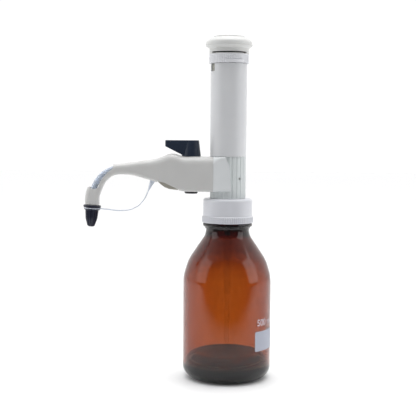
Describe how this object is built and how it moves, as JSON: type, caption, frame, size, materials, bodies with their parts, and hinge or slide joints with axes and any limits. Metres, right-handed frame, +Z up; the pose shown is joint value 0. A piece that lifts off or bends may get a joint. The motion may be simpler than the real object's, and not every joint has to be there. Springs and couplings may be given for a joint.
{
  "type": "bottle-top dispenser",
  "caption": "Bottle-top dispenser on an amber reagent bottle: palm knob, setting ring, rising sleeve, swan-neck discharge arm with lever valve and tethered nozzle cap.",
  "frame": {"origin": "centre of the bottle's standing ring, on the common axis of bottle and head", "axes": "+Z up, -X the way the discharge arm points, +Y away from the viewer who has the arm on the left"},
  "size_m": [0.185, 0.0866, 0.3344],
  "materials": {
    "amber_glass": "amber bottle glass",
    "clear_glass": "clear",
    "clear_plastic": "clear",
    "white_gloss": "moulded, semi-gloss",
    "grey_white": "moulded, semi-gloss",
    "ring_white": "moulded, fine ribs",
    "white_inner": "turned or moulded",
    "white_seal": "waxy",
    "navy_plastic": "fine grain",
    "black_plastic": "satin",
    "beige_plastic": "satin",
    "olive_plastic": "satin",
    "milky_tube": "translucent",
    "milky_strap": "translucent",
    "spring_metal": "drawn wire"
  },
  "bodies": {
    "bottle": {"bottle": "amber_glass"},
    "adapter": {"rim_gasket": "white_seal", "neck_adapter": "white_inner"},
    "collar": {"screw_collar": "white_gloss"},
    "block": {"valve_block": "white_inner", "block_retaining_ring": "white_inner", "block_shroud": "grey_white", "cylinder_seal": "white_seal", "measuring_cylinder": "clear_glass", "cylinder_cap": "white_inner", "cylinder_guard": "clear_plastic", "intake_valve": "white_inner", "intake_seal": "white_seal", "filling_tube_upper": "milky_tube", "return_tube": "milky_tube", "outlet_valve": "white_inner", "outlet_spring": "spring_metal", "arm_cover": "white_gloss", "arm_belly_cover": "beige_plastic", "arm_saddle": "white_gloss", "discharge_tube": "milky_tube", "nozzle_tip": "white_inner", "cap_strap": "milky_strap"},
    "carriage": {"piston": "white_seal", "piston_seal": "white_seal", "piston_rod": "white_inner", "stop_nut": "white_inner", "sleeve_head": "white_inner", "outer_sleeve": "white_gloss", "calibration_nut": "black_plastic", "top_knob": "white_gloss", "knob_insert": "white_gloss", "knob_screw": "spring_metal"},
    "dial": {"number_drum": "olive_plastic", "setting_ring": "ring_white"},
    "valve": {"valve_spindle": "white_inner", "spindle_seals": "white_seal", "spindle_foot": "black_plastic", "valve_knob": "navy_plastic"},
    "cap": {"nozzle_cap": "navy_plastic"},
    "intake_check": {"intake_ball": "clear_glass"},
    "outlet_check": {"outlet_ball": "clear_glass"},
    "dip_tube": {"filling_tube_lower": "milky_tube"}
  },
  "joints": [
    {"name": "head_lift", "type": "slide", "parent": "bottle", "child": "adapter", "axis": [0, 0, 1], "range_m": [0, 0.17]},
    {"name": "collar_turn", "type": "hinge", "parent": "adapter", "child": "collar", "pos_m": [0, 0, 0.165], "axis": [0, 0, 1], "continuous": true},
    {"name": "block_swivel", "type": "hinge", "parent": "adapter", "child": "block", "pos_m": [0, 0, 0.177], "axis": [0, 0, 1], "continuous": true},
    {"name": "piston_lift", "type": "slide", "parent": "block", "child": "carriage", "axis": [0, 0, 1], "range_m": [0, 0.066]},
    {"name": "dial_turn", "type": "hinge", "parent": "carriage", "child": "dial", "pos_m": [0, 0, 0.3134], "axis": [0, 0, 1], "range_deg": [0, 330]},
    {"name": "valve_turn", "type": "hinge", "parent": "block", "child": "valve", "pos_m": [-0.036, 0, 0.2], "axis": [0, 0, 1], "range_deg": [0, 90]},
    {"name": "cap_pull", "type": "slide", "parent": "block", "child": "cap", "axis": [-0.0628, 0, -0.998], "range_m": [0, 0.016], "deforming": ["cap_strap"]},
    {"name": "intake_ball_lift", "type": "slide", "parent": "block", "child": "intake_check", "axis": [0, 0, 1], "range_m": [0, 0.0015]},
    {"name": "outlet_ball_lift", "type": "slide", "parent": "block", "child": "outlet_check", "axis": [-1, 0, 0], "range_m": [0, 0.0015], "stiffness_N_per_m": 20, "springref_m": -0.0002, "deforming": ["outlet_spring"]},
    {"name": "dip_tube_slide", "type": "slide", "parent": "block", "child": "dip_tube", "axis": [0, 0, 1], "range_m": [0, 0.045]}
  ]
}
